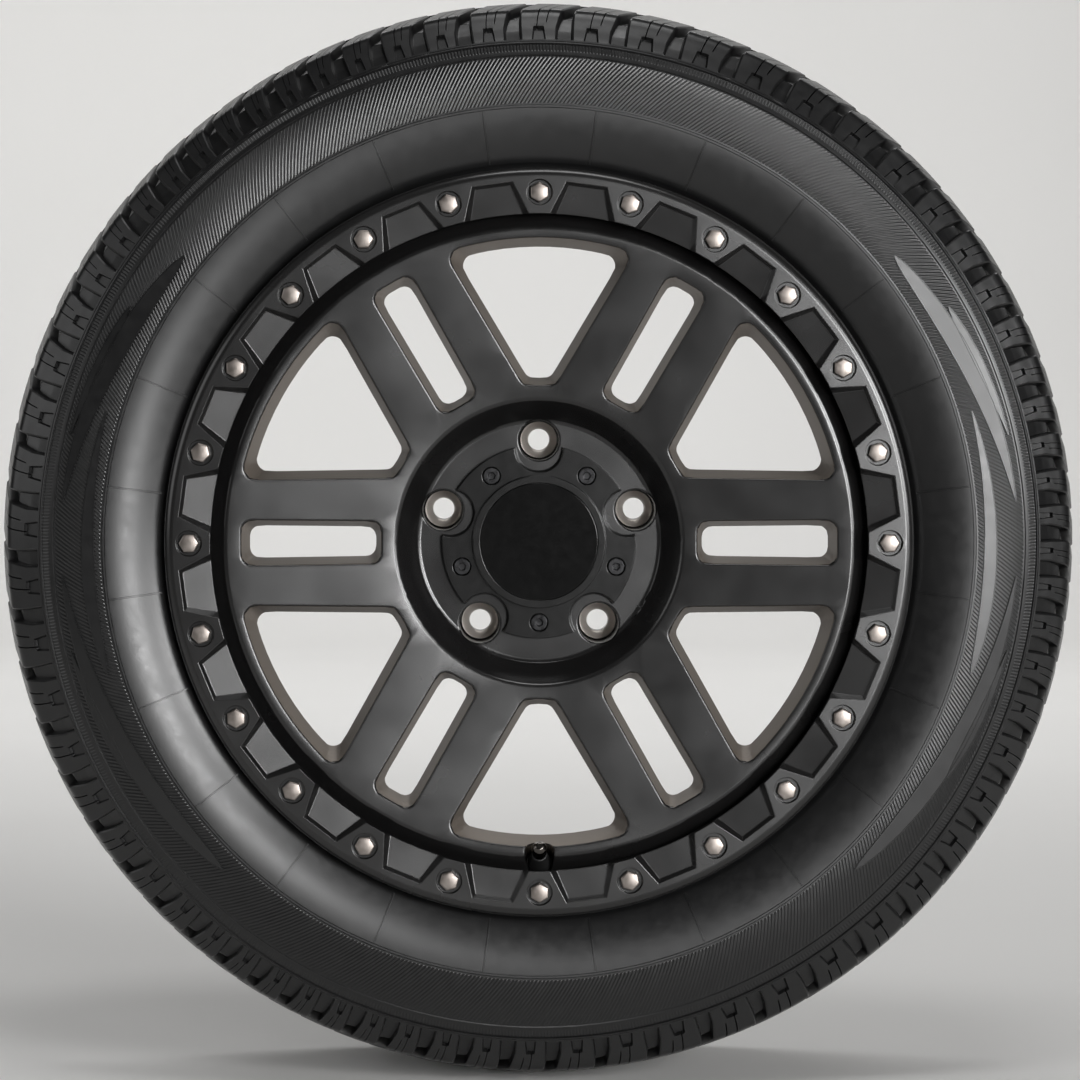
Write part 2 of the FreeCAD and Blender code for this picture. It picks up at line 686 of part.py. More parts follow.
def ring_bolts():
    """Hexagon heads on the sunk seats, one at each land of the ring."""
    body = new_body("ring_bolt")
    sketch = new_sketch(body, "ring_bolt_head", "XZ_Plane", f"{RING_FRONT} - ring_sink_depth")
    hexagon(sketch, "0", RING_BOLT_RADIUS, "bolt_flats")
    extrude(body, sketch, "bolt_head")
    count = int(number("ring_bolt_count"))
    return copies("ring_bolts", body, [360 * index / count for index in range(count)])


# Centre cap: a scalloped flange with a raised rim, a disc set in the rim and five screws.
def cap_flange():
    body = new_body("cap_flange")
    sketch = new_sketch(body, "cap_profile")
    outside = "(cap_bore / 2 - cap_fit)"
    inside = f"({outside} - cap_spigot_wall)"
    spigot_end = f"({HUB_FLOOR} - cap_spigot)"
    rim_front = f"({CAP_FRONT} + cap_rim_height)"
    ledge = f"({rim_front} - disc_thickness - cap_fit)"
    corners = [
        (inside, f"-{spigot_end}"),
        (inside, f"-{ledge}"),
        (CAP_RIM_BORE, f"-{ledge}"),
        (CAP_RIM_BORE, f"-{rim_front}"),
        ("cap_rim_radius", f"-{rim_front}"),
        ("cap_rim_radius", f"-{CAP_FRONT}"),
        ("cap_radius", f"-{CAP_FRONT}"),
        ("cap_radius", f"-{HUB_FLOOR}"),
        (outside, f"-{HUB_FLOOR}"),
        (outside, f"-{spigot_end}"),
    ]
    outline(sketch, corners)
    revolve(body, sketch)
    scallop = new_sketch(body, "scallop", "XZ_Plane", CAP_FRONT)
    circle(scallop, "0", "lug_circle / 2 - scallop_inset", "scallop")
    scallop_cut = extrude(body, scallop, "cap_thickness", "PartDesign::Pocket", draft="-scallop_draft")
    around(body, scallop_cut, "lug_count", "scallops")
    sink = new_sketch(body, "cap_sink", "XZ_Plane", CAP_FRONT)
    circle(sink, "0", "-cap_screw_radius", "cap_screw_head + cap_screw_head_play")
    sink_cut = extrude(body, sink, "cap_screw_sink_depth", "PartDesign::Pocket")
    around(body, sink_cut, "lug_count", "cap_sinks")
    hole = new_sketch(body, "cap_hole", "XZ_Plane", CAP_FRONT)
    circle(hole, "0", "-cap_screw_radius", CAP_SCREW_HOLE)
    hole_cut = extrude(body, hole, "cap_thickness", "PartDesign::Pocket")
    around(body, hole_cut, "lug_count", "cap_holes")
    return body


def cap_disc():
    body = new_body("cap_disc")
    lift = f"{CAP_FRONT} + cap_rim_height - disc_thickness - cap_fit"
    sketch = new_sketch(body, "cap_disc_round", "XZ_Plane", lift)
    circle(sketch, "0", "0", f"2 * ({CAP_RIM_BORE} - cap_fit)")
    extrude(body, sketch, "disc_thickness")
    return body


def cap_screws():
    """Socket screws, flush in the flange, at the gaps between the lug wells."""
    body = new_body("cap_screw")
    seat = f"{CAP_FRONT} - cap_screw_sink_depth"
    head = new_sketch(body, "cap_screw_head", "XZ_Plane", seat)
    circle(head, "0", "-cap_screw_radius", "cap_screw_head")
    extrude(body, head, "cap_screw_sink_depth")
    shank = new_sketch(body, "cap_screw_shank", "XZ_Plane", seat)
    circle(shank, "0", "-cap_screw_radius", "cap_screw_thread")
    extrude(body, shank, "cap_screw_length", reverse=True)
    socket = new_sketch(body, "cap_screw_socket", "XZ_Plane", CAP_FRONT)
    hexagon(socket, "0", "-cap_screw_radius", "cap_screw_socket")
    extrude(body, socket, "cap_screw_socket_depth", "PartDesign::Pocket")
    count = int(number("lug_count"))
    return copies("cap_screws", body, [360 * index / count for index in range(count)])


# Valve: turned pieces on one leaning axis, which starts on the outside of the wall at its hole.
def valve_piece(name, corners):
    body = new_body(name)
    sketch = new_sketch(body, name + "_profile", "XZ_Plane")
    outline(sketch, corners)
    revolve(body, sketch)
    body.Placement = FreeCAD.Placement(FreeCAD.Vector(), FreeCAD.Rotation(FreeCAD.Vector(1, 0, 0), 90))
    body.setExpression("Placement.Base.y", in_sheet(f"offset - {VALVE_FRONT}"))
    body.setExpression("Placement.Base.z", in_sheet(f"-{VALVE_RADIUS}"))
    body.setExpression("Placement.Rotation.Angle", in_sheet("90 - valve_lean"))
    return body


STEM_TOP = "(rubber_height + stem_rise)"
CORE_TOP = f"({STEM_TOP} - pin_proud - core_gap)"
CORE_FOOT = f"({CORE_TOP} - core_height)"
BULB_FOOT = "(-valve_wall - rubber_bulb_height)"


def valve_rubber():
    stem = "(stem_width / 2 + rubber_gap)"
    neck = "(valve_hole / 2 - rubber_gap)"
    corners = [
        (stem, BULB_FOOT),
        (neck, BULB_FOOT),
        ("rubber_bulb / 2", "-valve_wall - rubber_gap - rubber_bulb_collar"),
        ("rubber_bulb / 2", "-valve_wall - rubber_gap"),
        (neck, "-valve_wall - rubber_gap"),
        (neck, "rubber_gap"),
        ("rubber_base / 2", "rubber_gap"),
        ("rubber_base / 2", "rubber_collar"),
        ("rubber_top / 2", "rubber_height"),
        (stem, "rubber_height"),
    ]
    return valve_piece("valve_rubber", corners)


def valve_stem():
    corners = [
        ("stem_bore / 2", BULB_FOOT),
        ("stem_width / 2", BULB_FOOT),
        ("stem_width / 2", STEM_TOP),
        ("stem_bore / 2", STEM_TOP),
    ]
    return valve_piece("valve_stem", corners)


def valve_core():
    corners = [
        ("core_bore / 2", CORE_FOOT),
        ("stem_bore / 2 - core_gap", CORE_FOOT),
        ("stem_bore / 2 - core_gap", CORE_TOP),
        ("core_bore / 2", CORE_TOP),
    ]
    return valve_piece("valve_core", corners)


def valve_pin():
    head_top = f"({CORE_FOOT} - core_gap)"
    corners = [
        ("0", f"{head_top} - pin_head_height"),
        ("pin_head / 2", f"{head_top} - pin_head_height"),
        ("pin_head / 2", head_top),
        ("pin_width / 2", head_top),
        ("pin_width / 2", f"{CORE_TOP} + pin_proud"),
        ("0", f"{CORE_TOP} + pin_proud"),
    ]
    return valve_piece("valve_pin", corners)


def valve_cap():
    inside = "(stem_width / 2 + cap_gap)"
    foot = "(rubber_height + cap_stand)"
    roof = f"({STEM_TOP} + cap_gap + seal_thickness)"
    top = f"({roof} + cap_roof)"
    corners = [
        (inside, foot),
        ("cap_width / 2", foot),
        ("cap_width / 2", roof),
        ("cap_crown / 2", top),
        ("0", top),
        ("0", roof),
        (inside, roof),
    ]
    return valve_piece("valve_cap", corners)


def valve_cap_seal():
    edge = "(stem_width / 2)"
    foot = f"({STEM_TOP} + cap_gap)"
    corners = [
        ("0", foot),
        (edge, foot),
        (edge, f"{foot} + seal_thickness"),
        ("0", f"{foot} + seal_thickness"),
    ]
    return valve_piece("valve_cap_seal", corners)


nodes = [
    wheel(),
    tyre(),
    ring(),
    ring_bolts(),
    cap_flange(),
    cap_disc(),
    cap_screws(),
    valve_rubber(),
    valve_stem(),
    valve_core(),
    valve_pin(),
    valve_cap(),
    valve_cap_seal(),
]
doc.recompute()

failed = [thing.Name for thing in doc.Objects if {"Invalid", "Error"} & set(thing.State)]
if failed:
    raise RuntimeError("failed: " + ", ".join(failed))
for node in nodes:
    if node.Shape.isNull() or not node.Shape.isValid() or not node.Shape.Solids:
        raise RuntimeError("bad shape: " + node.Label)
os.makedirs("parts", exist_ok=True)
for node in nodes:
    node.Shape.exportStep(f"parts/{node.Label}.step")
    print(f"{node.Label}: {len(node.Shape.Solids)} solids, {node.Shape.Volume / 1000:.2f} cm3")
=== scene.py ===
import math

import bpy
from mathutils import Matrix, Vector


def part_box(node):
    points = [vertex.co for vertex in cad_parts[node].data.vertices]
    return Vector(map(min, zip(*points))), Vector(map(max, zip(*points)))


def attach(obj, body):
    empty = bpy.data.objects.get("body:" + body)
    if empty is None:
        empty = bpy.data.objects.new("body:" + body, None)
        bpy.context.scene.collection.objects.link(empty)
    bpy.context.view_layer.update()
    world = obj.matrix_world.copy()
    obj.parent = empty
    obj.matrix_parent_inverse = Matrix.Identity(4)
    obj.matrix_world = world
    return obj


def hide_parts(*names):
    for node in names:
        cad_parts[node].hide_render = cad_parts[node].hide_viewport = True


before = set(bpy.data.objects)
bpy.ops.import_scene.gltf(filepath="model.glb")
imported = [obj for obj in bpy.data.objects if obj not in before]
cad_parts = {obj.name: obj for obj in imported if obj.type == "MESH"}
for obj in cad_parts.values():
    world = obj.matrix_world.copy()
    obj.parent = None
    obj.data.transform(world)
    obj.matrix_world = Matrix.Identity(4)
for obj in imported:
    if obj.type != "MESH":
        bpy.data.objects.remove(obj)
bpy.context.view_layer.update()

# Wheel: one aluminium casting of barrel, spokes and hub, with its face turned and painted satin
# graphite. The walls of the windows and slots are milled bare and lacquered bronze, and the cone
# seats of the lug nuts stay bare metal.
MM = 0.001
EDGE_BREAK = 1.4 * MM
SHARP_EDGE = math.radians(35)
FLAT_EDGE = math.radians(0.05)
SAME_POINT = 0.01 * MM
SPOKE_DEPTH = 45 * MM
WALL_NEAR = 108 * MM
WALL_FAR = 228 * MM
WALL_TILT = 0.45
LUG_CIRCLE = 75 * MM
LUG_COUNT = 5
SEAT_FROM = 7.6 * MM
SEAT_TO = 13.4 * MM
SEAT_FRONT = -23.5 * MM
SEAT_BACK = -12.5 * MM


def activate(piece):
    """Selects one piece alone, as the operators expect."""
    bpy.ops.object.select_all(action="DESELECT")
    piece.select_set(True)
    bpy.context.view_layer.objects.active = piece


def new_piece(name, mesh):
    """Puts a mesh into the scene as a piece, and selects it alone."""
    piece = bpy.data.objects.new(name, mesh)
    bpy.context.scene.collection.objects.link(piece)
    activate(piece)
    return piece


def apply_modifier(piece, kind, **settings):
    """Adds a modifier with its settings and applies it."""
    activate(piece)
    modifier = piece.modifiers.new(kind.lower(), kind)
    for name, value in settings.items():
        setattr(modifier, name, value)
    bpy.ops.object.modifier_apply(modifier=modifier.name)


def round_edges(piece, edge, steps=2):
    """Merges a piece's flat facets and breaks its sharp edges with a small round."""
    activate(piece)
    bpy.ops.object.mode_set(mode="EDIT")
    bpy.ops.mesh.select_all(action="SELECT")
    bpy.ops.mesh.remove_doubles(threshold=SAME_POINT)
    bpy.ops.mesh.dissolve_limited(angle_limit=FLAT_EDGE)
    bpy.ops.object.mode_set(mode="OBJECT")
    bpy.ops.object.shade_smooth()
    apply_modifier(
        piece, "BEVEL", width=edge, segments=steps, limit_method="ANGLE", angle_limit=SHARP_EDGE,
        use_clamp_overlap=False, miter_outer="MITER_SHARP", loop_slide=False,
    )
    apply_modifier(piece, "WEIGHTED_NORMAL", mode="FACE_AREA", weight=80, keep_sharp=True)
    piece.data.materials.clear()


def rounded_copy(node_name, piece_name, edge, steps=2):
    """A node's own shape with its sharp edges broken, as on the real piece."""
    piece = new_piece(piece_name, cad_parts[node_name].data.copy())
    bpy.ops.mesh.customdata_custom_splitnormals_clear()
    round_edges(piece, edge, steps)
    return piece


def colour(text):
    """An sRGB hex colour as linear red, green, blue and alpha."""
    parts = [int(text[start:start + 2], 16) / 255 for start in (1, 3, 5)]
    return [(c / 12.92 if c <= 0.04045 else ((c + 0.055) / 1.055) ** 2.4) for c in parts] + [1]


def add(material, kind, inputs=None, **settings):
    """Adds one node. An input given as (node, output) is linked, and any other value is set."""
    tree = material.node_tree
    made = tree.nodes.new(kind)
    for name, value in settings.items():
        setattr(made, name, value)
    for key, value in (inputs or {}).items():
        if isinstance(value, tuple) and isinstance(value[0], bpy.types.Node):
            tree.links.new(value[0].outputs[value[1]], made.inputs[key])
        else:
            made.inputs[key].default_value = value
    return made


def new_material(name):
    """A material with an empty tree and its Object coordinates."""
    material = bpy.data.materials.new(name)
    material.use_nodes = True
    material.node_tree.nodes.clear()
    return material, add(material, "ShaderNodeTexCoord")


def finish_material(material, surface):
    """Joins the surface shader to the material's output."""
    add(material, "ShaderNodeOutputMaterial", {"Surface": (surface, "BSDF")})
    return material


def satin_graphite_paint(name, dark, light):
    """Metallic wheel paint under a satin lacquer: a fine sparkle of flakes and a faint orange peel.
    The paint rounds off each edge that it runs over."""
    material, place = new_material(name)
    roughness = 0.25
    flake_size = 0.9 * MM
    cloud_size = 40 * MM
    peel_size = 2.5 * MM
    peel_depth = 0.02 * MM
    soft_edge = 0.4 * MM
    flakes = add(material, "ShaderNodeTexNoise", {
        "Vector": (place, "Object"), "Scale": 1 / flake_size, "Detail": 2.0})
    tint = add(material, "ShaderNodeMix", {
        "Factor": (flakes, "Fac"), "A": colour(dark), "B": colour(light)}, data_type="RGBA")
    cloud = add(material, "ShaderNodeTexNoise", {
        "Vector": (place, "Object"), "Scale": 1 / cloud_size, "Detail": 3.0})
    gloss = add(material, "ShaderNodeMapRange", {
        "Value": (cloud, "Fac"), "From Min": 0.3, "From Max": 0.7,
        "To Min": roughness - 0.03, "To Max": roughness + 0.03})
    peel = add(material, "ShaderNodeTexNoise", {
        "Vector": (place, "Object"), "Scale": 1 / peel_size, "Detail": 1.0})
    edges = add(material, "ShaderNodeBevel", {"Radius": soft_edge}, samples=4)
    bump = add(material, "ShaderNodeBump", {
        "Height": (peel, "Fac"), "Distance": peel_depth, "Strength": 0.5,
        "Normal": (edges, "Normal")})
    surface = add(material, "ShaderNodeBsdfPrincipled", {
        "Base Color": (tint, "Result"), "Metallic": 0.1, "Roughness": (gloss, "Result"), "IOR": 1.65,
        "Normal": (bump, "Normal")})
    return finish_material(material, surface)


def milled_aluminium(name, dark, light, metallic, roughness):
    """Milled metal: fine tool marks that run round the cut, stacked along the wheel's axis."""
    material, place = new_material(name)
    mark_width = 0.7 * MM
    mark_length = 60 * mark_width
    mark_depth = 0.04 * MM
    marks_place = add(material, "ShaderNodeMapping", {
        "Vector": (place, "Object"), "Scale": (1 / mark_length, 1 / mark_width, 1 / mark_length)})
    marks = add(material, "ShaderNodeTexNoise", {
        "Vector": (marks_place, "Vector"), "Scale": 1.0, "Detail": 4.0})
    tint = add(material, "ShaderNodeMix", {
        "Factor": (marks, "Fac"), "A": colour(dark), "B": colour(light)}, data_type="RGBA")
    bump = add(material, "ShaderNodeBump", {
        "Height": (marks, "Fac"), "Distance": mark_depth, "Strength": 0.6})
    surface = add(material, "ShaderNodeBsdfPrincipled", {
        "Base Color": (tint, "Result"), "Metallic": metallic, "Roughness": roughness,
        "Normal": (bump, "Normal")})
    return finish_material(material, surface)


wheel_piece = rounded_copy("wheel", "wheel_casting", EDGE_BREAK, steps=3)
for material in (
        satin_graphite_paint("satin_graphite_paint", "#121212", "#191818"),
        milled_aluminium("bronze_lacquered_milled_aluminium", "#5f574f", "#776d63", 0.5, 0.44),
        milled_aluminium("bare_milled_aluminium", "#cfc6bd", "#e6ded6", 0.45, 0.35)):
    wheel_piece.data.materials.append(material)
LACQUERED, BARE = 1, 2
spoke_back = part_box("wheel")[0].y + SPOKE_DEPTH
lug_step = 2 * math.pi / LUG_COUNT
for face in wheel_piece.data.polygons:
    radius = math.hypot(face.center.x, face.center.z)
    steep = abs(face.normal.y) < WALL_TILT
    if steep and WALL_NEAR < radius < WALL_FAR and face.center.y < spoke_back:
        face.material_index = LACQUERED
    angle = math.atan2(face.center.x, face.center.z)
    aside = angle - lug_step * round(angle / lug_step)
    from_lug = math.hypot(radius * math.sin(aside), radius * math.cos(aside) - LUG_CIRCLE)
    if SEAT_FROM < from_lug < SEAT_TO and SEAT_FRONT < face.center.y < SEAT_BACK:
        face.material_index = BARE
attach(wheel_piece, "road_wheel")
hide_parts("wheel")

# Tyre: one rubber moulding, cured in a steel mould that leaves the tread blocks, fine hatching,
# thin ribs and vent lines on its sides. Its beads sit on the seats of the rim. Its sizes are in
# millimetres, and a half width is a distance from its middle plane.
TYRE_LOW, TYRE_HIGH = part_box("tyre")
TYRE_RADIUS = TYRE_HIGH.z / MM
TYRE_MIDDLE = (TYRE_LOW.y + TYRE_HIGH.y) / 2 / MM
TYRE_HALF = (TYRE_HIGH.y - TYRE_LOW.y) / 2 / MM
TREAD_SMOOTH = math.radians(32)
BELLY_RADIUS = 322.0
WALL_ARC = 101.7
WALL_SINK = 0.9
PITCH_COUNT = 69
PITCH_SWING = 0.25
PITCH_WAVES = 3
PITCH_START = 5.0
BLOCK_RADIUS = 386.0
BLOCK_LENGTH = 30
BLOCK_EDGE = 0.9
GROOVE_DEPTH = 7.5
GROOVE_FOOT = 1.2
GROOVE_LIP = 0.2
GROOVE_STEP = 2.0
NOTCH_DEPTH = 3.0
NOTCH_FROM = 1.5
NOTCH_TO = 12.4
NOTCH_SLOPE = 0.02
SIPE_DEPTH = 4.0
SIPE_HALF = 0.45
SIPE_GAP = 0.06


def face_outwards(piece):
    """Turns all faces of a closed piece to the outside."""
    activate(piece)
    bpy.ops.object.mode_set(mode="EDIT")
    bpy.ops.mesh.select_all(action="SELECT")
    bpy.ops.mesh.normals_make_consistent(inside=False)
    bpy.ops.object.mode_set(mode="OBJECT")


def between(table, place):
    """A value read from a short table of (place, value), with straight runs between."""
    for (start, low), (end, high) in zip(table, table[1:]):
        if place <= end:
            share = max(0.0, (place - start) / (end - start))
            return low + (high - low) * share
    return table[-1][1]


def wall_point(radius, height):
    """A point of the sidewall, that far above its rounded surface: radius and half width."""
    centre = TYRE_HALF - WALL_ARC
    lean = math.asin((radius - BELLY_RADIUS) / WALL_ARC)
    reach = WALL_ARC - WALL_SINK + height
    return BELLY_RADIUS + reach * math.sin(lean), centre + reach * math.cos(lean)


def pitch_angle(index, shift):
    """Where a groove across the shoulder lies: blocks grow and shrink in waves around the tyre."""
    even = 2 * math.pi * (index + shift) / PITCH_COUNT
    return math.radians(PITCH_START) + even - math.sin(PITCH_WAVES * even) * PITCH_SWING / PITCH_WAVES


# The inside from the crown to the bead, and the outside of the bead: radius, half width
INSIDE = ((384, 0), (384, 61), (366, 93.5), (322, 113), (276, 98), (254.2, 87.8))
BEAD = ((254.2, 107.6), (271.7, 107.6))
# The sidewall with its thin ribs: radius, height above the rounded surface
RIBS = (
    (277.5, -0.3), (279, 0), (284, 0), (290, 0), (297, 0), (304, 0), (311, 0), (316.5, 0),
    (318.1, 0), (318.6, 0.7), (319.9, 0.7), (320.5, -0.2), (326, -0.2), (333, -0.2), (340, -0.2),
    (347, -0.2), (353, -0.2), (356.8, -0.2), (357.3, 0.8), (358.6, 0.8), (359.2, -0.5),
    (362.5, -0.5), (365.6, -0.5), (366.1, 0.8), (366.9, 0.8),
)
# The shoulder from the foot of the blocks to the round groove: way along it, radius, half width
SHOULDER = (
    (0.0, 367.6, 111.9), (1.2, 368.7, 111.4), (2.0, 369.4, 111.0), (5.0, 372.0, 109.7),
    (9.0, 375.6, 107.9), (12.0, 378.3, 106.6), (12.8, 379.0, 106.2), (16.0, 381.9, 104.8),
    (16.8, 382.6, 104.4), (20.0, 385.5, 103.0), (23.0, 388.2, 101.6), (25.0, 389.9, 100.4),
    (27.0, 391.2, 98.8), (29.0, 392.2, 96.9), (32.0, 392.9, 94.0), (48.0, 395.9, 78.3),
    (73.0, 400.0, 53.6),
)
SHOULDER_RADII = [(way, radius) for way, radius, _ in SHOULDER]
SHOULDER_HALVES = [(way, half) for way, _, half in SHOULDER]
# By the way along the shoulder: the edges of a cross groove, measured from its middle line, its depth,
# and the sides of the notch in a block as shares of the block's length
GROOVE_LEFT = ((0, -6.4), (12, -6.2), (21, -4.0), (32, -0.6), (74, 11.5))
GROOVE_RIGHT = ((0, 6.4), (12, 6.0), (21, 6.0), (32, 7.6), (74, 19.0))
GROOVE_FLOOR = ((1.2, 0), (2.0, 4.2), (12, 6.6), (20, GROOVE_DEPTH))
NOTCH_LEFT = ((1, 0.30), (12, 0.36))
NOTCH_RIGHT = ((1, 0.70), (12, 0.64))
# The two sipes of a block: share of its length, and from which way on
SIPES = ((0.44, 12.4), (0.70, 16.4))
# The round groove and the rib inside it: radius, half width
ROUND_FLOOR = TYRE_RADIUS - 9.0
ROUND_CORNER = ROUND_FLOOR + 0.8
ROUND_OUTER = ((399.4, 52.4), (ROUND_CORNER, 51.2), (ROUND_FLOOR, 50.0))
ROUND_INNER = ((ROUND_FLOOR, 44.0), (ROUND_CORNER, 42.8))
CENTRE_RIB = (
    (399.6, 41.8), (400.5, 41.0), (400.7, 32.0), (400.85, 23.0), (400.7, 14.0), (400.5, 6.0),
    (399.6, 5.2), (ROUND_CORNER, 4.2), (ROUND_FLOOR, 3.2), (ROUND_FLOOR, 0.0),
)
# Across one pitch of that rib: share of the pitch, and whether the sipe is there
RIB_COLUMNS = ((0.0, 0), (0.30, 0), (0.33, 1), (0.36, 0), (0.70, 0))
RIB_SIPED = range(1, 6)
RIB_SLANTED = range(8)
RIB_ZIGZAG = 0.02
RIB_SLANT = 0.05


def block_columns(way):
    """One pitch of the shoulder at one way along it: (from which groove, distance or share, depth)."""
    floor = between(GROOVE_FLOOR, way)
    left = between(GROOVE_LEFT, way)
    right = between(GROOVE_RIGHT, way)
    middle = (left + right) / 2
    edge = min(BLOCK_EDGE, floor)
    notch = NOTCH_DEPTH if NOTCH_FROM < way < NOTCH_TO else 0.0
    notch_left = between(NOTCH_LEFT, way)
    notch_right = between(NOTCH_RIGHT, way)
    first, second = [place for place, _ in SIPES]
    first_depth, second_depth = [SIPE_DEPTH if way > start else 0.0 for _, start in SIPES]
    second = max(second, notch_right + SIPE_GAP)
    hair = SIPE_HALF / BLOCK_LENGTH
    return [
        ("left", middle, floor),
        ("left", right - GROOVE_FOOT, floor),
        ("left", right - GROOVE_LIP, edge),
        ("left", right + BLOCK_EDGE, 0.0),
        ("share", 0.16, 0.0),
        ("share", notch_left - NOTCH_SLOPE, 0.0),
        ("share", notch_left + NOTCH_SLOPE, notch),
        ("share", first - hair, notch),
        ("share", first, max(notch, first_depth)),
        ("share", first + hair, notch),
        ("share", notch_right - NOTCH_SLOPE, notch),
        ("share", notch_right + NOTCH_SLOPE, 0.0),
        ("share", second - hair, 0.0),
        ("share", second, second_depth),
        ("share", second + hair, 0.0),
        ("share", 0.86, 0.0),
        ("right", left - BLOCK_EDGE, 0.0),
        ("right", left + GROOVE_LIP, edge),
        ("right", left + GROOVE_FOOT, floor),
        ("right", middle - GROOVE_STEP, floor),
    ]


tyre_points = []
tyre_faces = []


def tyre_ring(places, side):
    """Adds one ring of points, given as (angle, radius, half width), and returns their numbers."""
    first = len(tyre_points)
    for angle, radius, half in places:
        tyre_points.append(Vector((
            radius * math.cos(angle), TYRE_MIDDLE + side * half, radius * math.sin(angle))) * MM)
    return list(range(first, len(tyre_points)))


def join_rings(coarse, fine):
    """Faces between two rings; each point of the coarse one takes several of the fine one."""
    ratio = len(fine) // len(coarse)
    for index, corner in enumerate(coarse):
        following = coarse[(index + 1) % len(coarse)]
        run = [fine[(index * ratio + step) % len(fine)] for step in range(ratio, -1, -1)]
        tyre_faces.append([corner, following] + run)


def half_tyre(side, shift):
    """One half of the tyre, from the inside of the crown round the bead to the middle of the tread.
    Returns its first and last ring, which meet those of the other half."""
    turn = -side
    lines = [pitch_angle(index, shift) for index in range(PITCH_COUNT)]
    if turn > 0:
        lines = lines[::-1]

    def angle_at(cell, kind, value, way):
        """The angle of one column in one pitch."""
        left_line = lines[cell]
        right_line = lines[(cell + 1) % PITCH_COUNT]
        span = (right_line - left_line) * -turn % (2 * math.pi)
        unit = 1 / BLOCK_RADIUS
        if kind == "left":
            along = value * unit
        elif kind == "right":
            along = span + value * unit
        else:
            start = (between(GROOVE_RIGHT, way) + BLOCK_EDGE) * unit
            end = span + (between(GROOVE_LEFT, way) - BLOCK_EDGE) * unit
            along = start + (end - start) * value
        return left_line - turn * along

    def shoulder_ring(way, radius, half):
        """A ring with all columns of the blocks, cut in square to the shoulder's surface."""
        run_r = between(SHOULDER_RADII, way + 1) - between(SHOULDER_RADII, way - 1)
        run_h = between(SHOULDER_HALVES, way + 1) - between(SHOULDER_HALVES, way - 1)
        length = math.hypot(run_r, run_h)
        out_r, out_h = -run_h / length, run_r / length
        places = []
        for cell in range(PITCH_COUNT):
            for kind, value, depth in block_columns(way):
                angle = angle_at(cell, kind, value, way)
                places.append((angle, radius - out_r * depth, half - out_h * depth))
        return places

    def plain_ring(radius, half, columns, way=0.0):
        """A round ring with some of the columns."""
        chosen = block_columns(way)
        step = len(chosen) // columns
        return [(angle_at(cell, *chosen[number][:2], way), radius, half)
                for cell in range(PITCH_COUNT) for number in range(0, len(chosen), step)]

    wall_columns = len(RIB_COLUMNS)
    last_way = SHOULDER[-1][0]
    last_ring = shoulder_ring(*SHOULDER[-1])
    layers = [plain_ring(radius, half, 1) for radius, half in INSIDE]
    layers += [plain_ring(radius, half, wall_columns) for radius, half in BEAD]
    layers += [plain_ring(*wall_point(radius, height), wall_columns) for radius, height in RIBS]
    layers += [shoulder_ring(*row) for row in SHOULDER]
    layers += [[(angle, min(radius, there), half) for angle, there, _ in last_ring]
               for radius, half in ROUND_OUTER]
    layers += [plain_ring(radius, half, wall_columns, last_way) for radius, half in ROUND_INNER]
    for number, (radius, half) in enumerate(CENTRE_RIB):
        sipe = SIPE_DEPTH if number in RIB_SIPED else 0.0
        zigzag = (RIB_ZIGZAG if number % 2 else -RIB_ZIGZAG) + RIB_SLANT * number
        slant = zigzag if number in RIB_SLANTED else 0.0
        layers.append([(angle_at(cell, "share", share + slant, last_way), radius - cut * sipe, half)
                       for cell in range(PITCH_COUNT) for share, cut in RIB_COLUMNS])
    rings = [tyre_ring(places, side) for places in layers]
    for one, other in zip(rings, rings[1:]):
        coarse, fine = sorted((one, other), key=len)
        join_rings(coarse, fine)
    return rings[0], rings[-1]


front_rings = half_tyre(-1, 0.0)
back_rings = half_tyre(1, 0.5)
for one, other in zip(front_rings, back_rings):
    turned = other[::-1]
    start = tyre_points[one[0]]
    nearest = min(range(len(turned)), key=lambda n: (tyre_points[turned[n]] - start).length)
    join_rings(one, turned[nearest:] + turned[:nearest])

# Vent lines across the lower sidewall, and long smooth blades with raised edges in the hatched band
VENT_COUNT = 24
VENT_STEPS = 10
VENT_FROM = 279
VENT_LENGTH = 38.5
VENT_HALF = 0.8
VENT_FOOT = -0.5
VENT_HEIGHT = 0.7
# Each blade: from and to which angle, from and to which radius, width
BLADES = (
    (39, 5, 334, 351, 13),
    (-46, -4, 334, 351, 13),
    (30, 13, 346, 353, 6),
    (-30, -13, 346, 353, 6),
    (-17, 17, 331, 331, 9),
)
BLADE_STEPS = 28
BLADE_SKEW = 0.75
BLADE_FULLNESS = 0.8
BLADE_TIP = 0.15
BLADE_BEND = 1.4
BLADE_HEIGHT = 0.45
BLADE_SLOPE = 0.4
BLADE_SKIRT = -0.1
BLADE_FOOT = -0.8
RIDGE_HALF = 0.5
RIDGE_HEIGHT = 0.8


def raised_shape(sections, side):
    """A low closed shape on the sidewall, through sections of (angle, radius, height) points."""
    first = len(tyre_points)
    around = len(sections[0])
    for section in sections:
        tyre_ring([(angle, *wall_point(radius, height)) for angle, radius, height in section], side)
    for number in range(len(sections) - 1):
        here = first + number * around
        for corner in range(around):
            following = (corner + 1) % around
            tyre_faces.append([here + corner, here + following,
                               here + around + following, here + around + corner])
    tyre_faces.append([first + corner for corner in range(around)])
    tyre_faces.append([len(tyre_points) - around + corner for corner in range(around)])


def blade_section(angle, inner, outer, height):
    """Across a blade or its edge: sloping sides and a flat top, with its foot in the wall."""
    slope = min(BLADE_SLOPE, (outer - inner) / 4)
    return [
        (angle, inner, BLADE_FOOT), (angle, inner, BLADE_SKIRT), (angle, inner + slope, height),
        (angle, outer - slope, height), (angle, outer, BLADE_SKIRT), (angle, outer, BLADE_FOOT),
    ]


